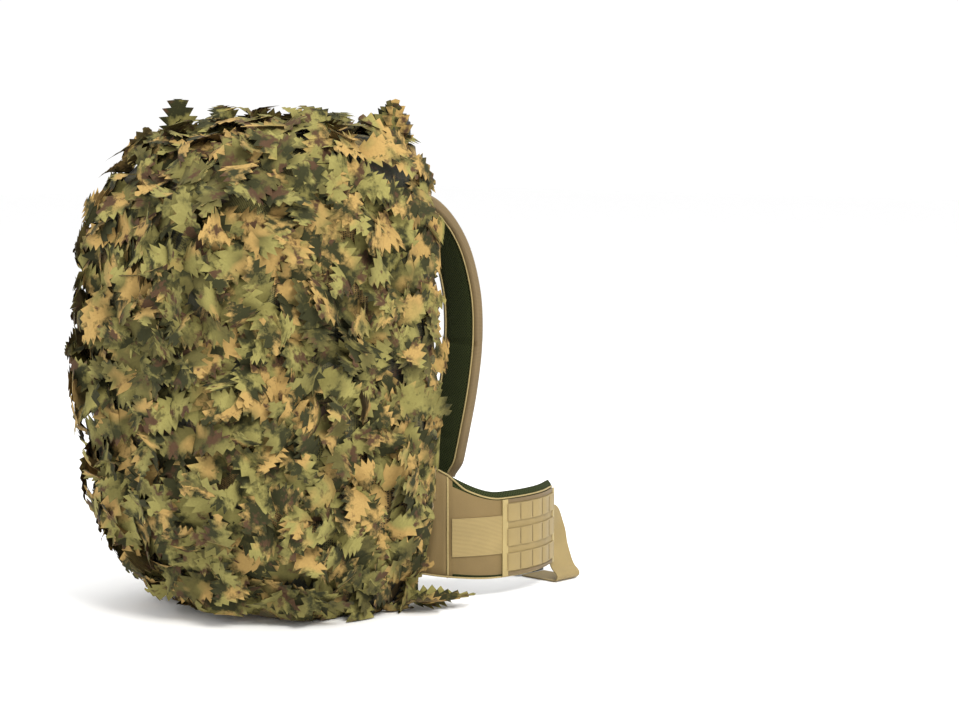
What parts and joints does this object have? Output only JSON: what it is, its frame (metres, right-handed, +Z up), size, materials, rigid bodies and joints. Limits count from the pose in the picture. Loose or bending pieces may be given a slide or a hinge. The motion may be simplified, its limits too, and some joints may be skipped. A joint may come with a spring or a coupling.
{
  "type": "camouflaged rucksack with leaf cover",
  "caption": "Full rucksack with padded harness and open hip belt, standing under a leaf camouflage cover with a gathered drawcord hem that pulls off forward.",
  "frame": {"origin": "on the floor, on the rucksack's middle plane, inside the flat base", "axes": "+Z up, +Y towards the harness and the wearer's back, +X towards the wearer's right"},
  "size_m": [0.4512, 0.6887, 0.6929],
  "materials": {
    "pack_cloth": "matte",
    "pad_mesh": "matte",
    "webbing": "matte",
    "black_plastic": "satin",
    "sheet_plastic": "satin",
    "stay_metal": "satin",
    "coated_lining": "satin",
    "cover_mesh": "matte",
    "leaf_cloth": "matte",
    "elastic_cord": "matte",
    "spring_steel": "satin"
  },
  "bodies": {
    "rucksack": {"main_bag": "pack_cloth", "base_compartment": "pack_cloth", "lid": "pack_cloth", "front_pocket": "pack_cloth", "side_pocket_right": "pack_cloth", "side_pocket_left": "pack_cloth", "compression_strap_right": "webbing", "compression_strap_left": "webbing", "compression_strap_end_right": "webbing", "compression_strap_end_left": "webbing", "compression_buckle_right": "black_plastic", "compression_buckle_left": "black_plastic", "lid_strap_right": "webbing", "lid_strap_left": "webbing", "stay_right": "stay_metal", "stay_left": "stay_metal", "frame_sheet": "sheet_plastic", "back_panel": "pack_cloth", "back_pad_right": "pad_mesh", "back_pad_left": "pad_mesh", "lumbar_pad": "pad_mesh", "lower_webbing_right": "webbing", "lower_webbing_left": "webbing", "load_lifter_right": "webbing", "load_lifter_left": "webbing"},
    "haul_loop": {"haul_loop": "webbing"},
    "strap_right": {"shoulder_strap_right": "pack_cloth", "strap_backing_right": "webbing", "strap_adjuster_right": "black_plastic", "lifter_tail_right": "webbing"},
    "strap_left": {"shoulder_strap_left": "pack_cloth", "strap_backing_left": "webbing", "strap_adjuster_left": "black_plastic", "lifter_tail_left": "webbing"},
    "hip_wing_right": {"hip_wing_right": "pack_cloth", "webbing_sleeve_right": "webbing", "wing_band_right": "webbing", "belt_webbing_right": "webbing"},
    "hip_wing_left": {"hip_wing_left": "pack_cloth", "webbing_sleeve_left": "webbing", "wing_band_left": "webbing", "belt_webbing_left": "webbing"},
    "belt_plug": {"belt_buckle_plug": "black_plastic"},
    "belt_socket": {"belt_buckle_socket": "black_plastic"},
    "cover": {"cover_lining": "coated_lining", "cover_mesh": "cover_mesh", "leaves_front": "leaf_cloth", "leaves_top": "leaf_cloth", "leaves_right": "leaf_cloth", "leaves_left": "leaf_cloth", "hem_lip": "cover_mesh", "hem_drawcord": "elastic_cord", "cord_lock_body_right": "black_plastic", "cord_lock_body_left": "black_plastic", "cord_lock_spring_right": "spring_steel", "cord_lock_spring_left": "spring_steel", "cord_loop_right": "elastic_cord", "cord_loop_left": "elastic_cord"},
    "lock_button_right": {"cord_lock_button_right": "black_plastic"},
    "lock_button_left": {"cord_lock_button_left": "black_plastic"}
  },
  "joints": [
    {"name": "cover_pull_off", "type": "slide", "parent": "rucksack", "child": "cover", "axis": [0, -1, 0], "range_m": [0, 0.42], "deforming": ["hem_lip", "hem_drawcord", "cord_loop_right", "cord_loop_left"]},
    {"name": "haul_loop_swing", "type": "hinge", "parent": "rucksack", "child": "haul_loop", "pos_m": [0, 0.1546, 0.606], "axis": [1, 0, 0], "range_deg": [0, 110]},
    {"name": "strap_right_swing", "type": "hinge", "parent": "rucksack", "child": "strap_right", "pos_m": [0.086, 0.1496, 0.566], "axis": [1, 0, 0], "range_deg": [-9, 10], "deforming": ["lower_webbing_right", "load_lifter_right"]},
    {"name": "strap_left_swing", "type": "hinge", "parent": "rucksack", "child": "strap_left", "pos_m": [-0.086, 0.1496, 0.566], "axis": [1, 0, 0], "range_deg": [-9, 10], "deforming": ["lower_webbing_left", "load_lifter_left"]},
    {"name": "hip_wing_right_swing", "type": "hinge", "parent": "rucksack", "child": "hip_wing_right", "pos_m": [0.102, 0.164, 0.1], "axis": [0, 0, 1], "range_deg": [-15, 12]},
    {"name": "hip_wing_left_swing", "type": "hinge", "parent": "rucksack", "child": "hip_wing_left", "pos_m": [-0.102, 0.164, 0.1], "axis": [0, 0, -1], "range_deg": [-15, 12]},
    {"name": "belt_plug_tilt", "type": "hinge", "parent": "hip_wing_right", "child": "belt_plug", "pos_m": [0.135, 0.43, 0.0014], "axis": [0, 1, 0], "range_deg": [0, 60]},
    {"name": "belt_socket_tilt", "type": "hinge", "parent": "hip_wing_left", "child": "belt_socket", "pos_m": [-0.135, 0.43, 0.0014], "axis": [0, -1, 0], "range_deg": [0, 60]},
    {"name": "lock_button_right_press", "type": "slide", "parent": "cover", "child": "lock_button_right", "axis": [0, 0, -1], "range_m": [0, 0.004], "stiffness_N_per_m": 300, "springref_m": -0.003, "deforming": ["cord_lock_spring_right"]},
    {"name": "lock_button_left_press", "type": "slide", "parent": "cover", "child": "lock_button_left", "axis": [0, 0, -1], "range_m": [0, 0.004], "stiffness_N_per_m": 300, "springref_m": -0.003, "deforming": ["cord_lock_spring_left"]}
  ]
}
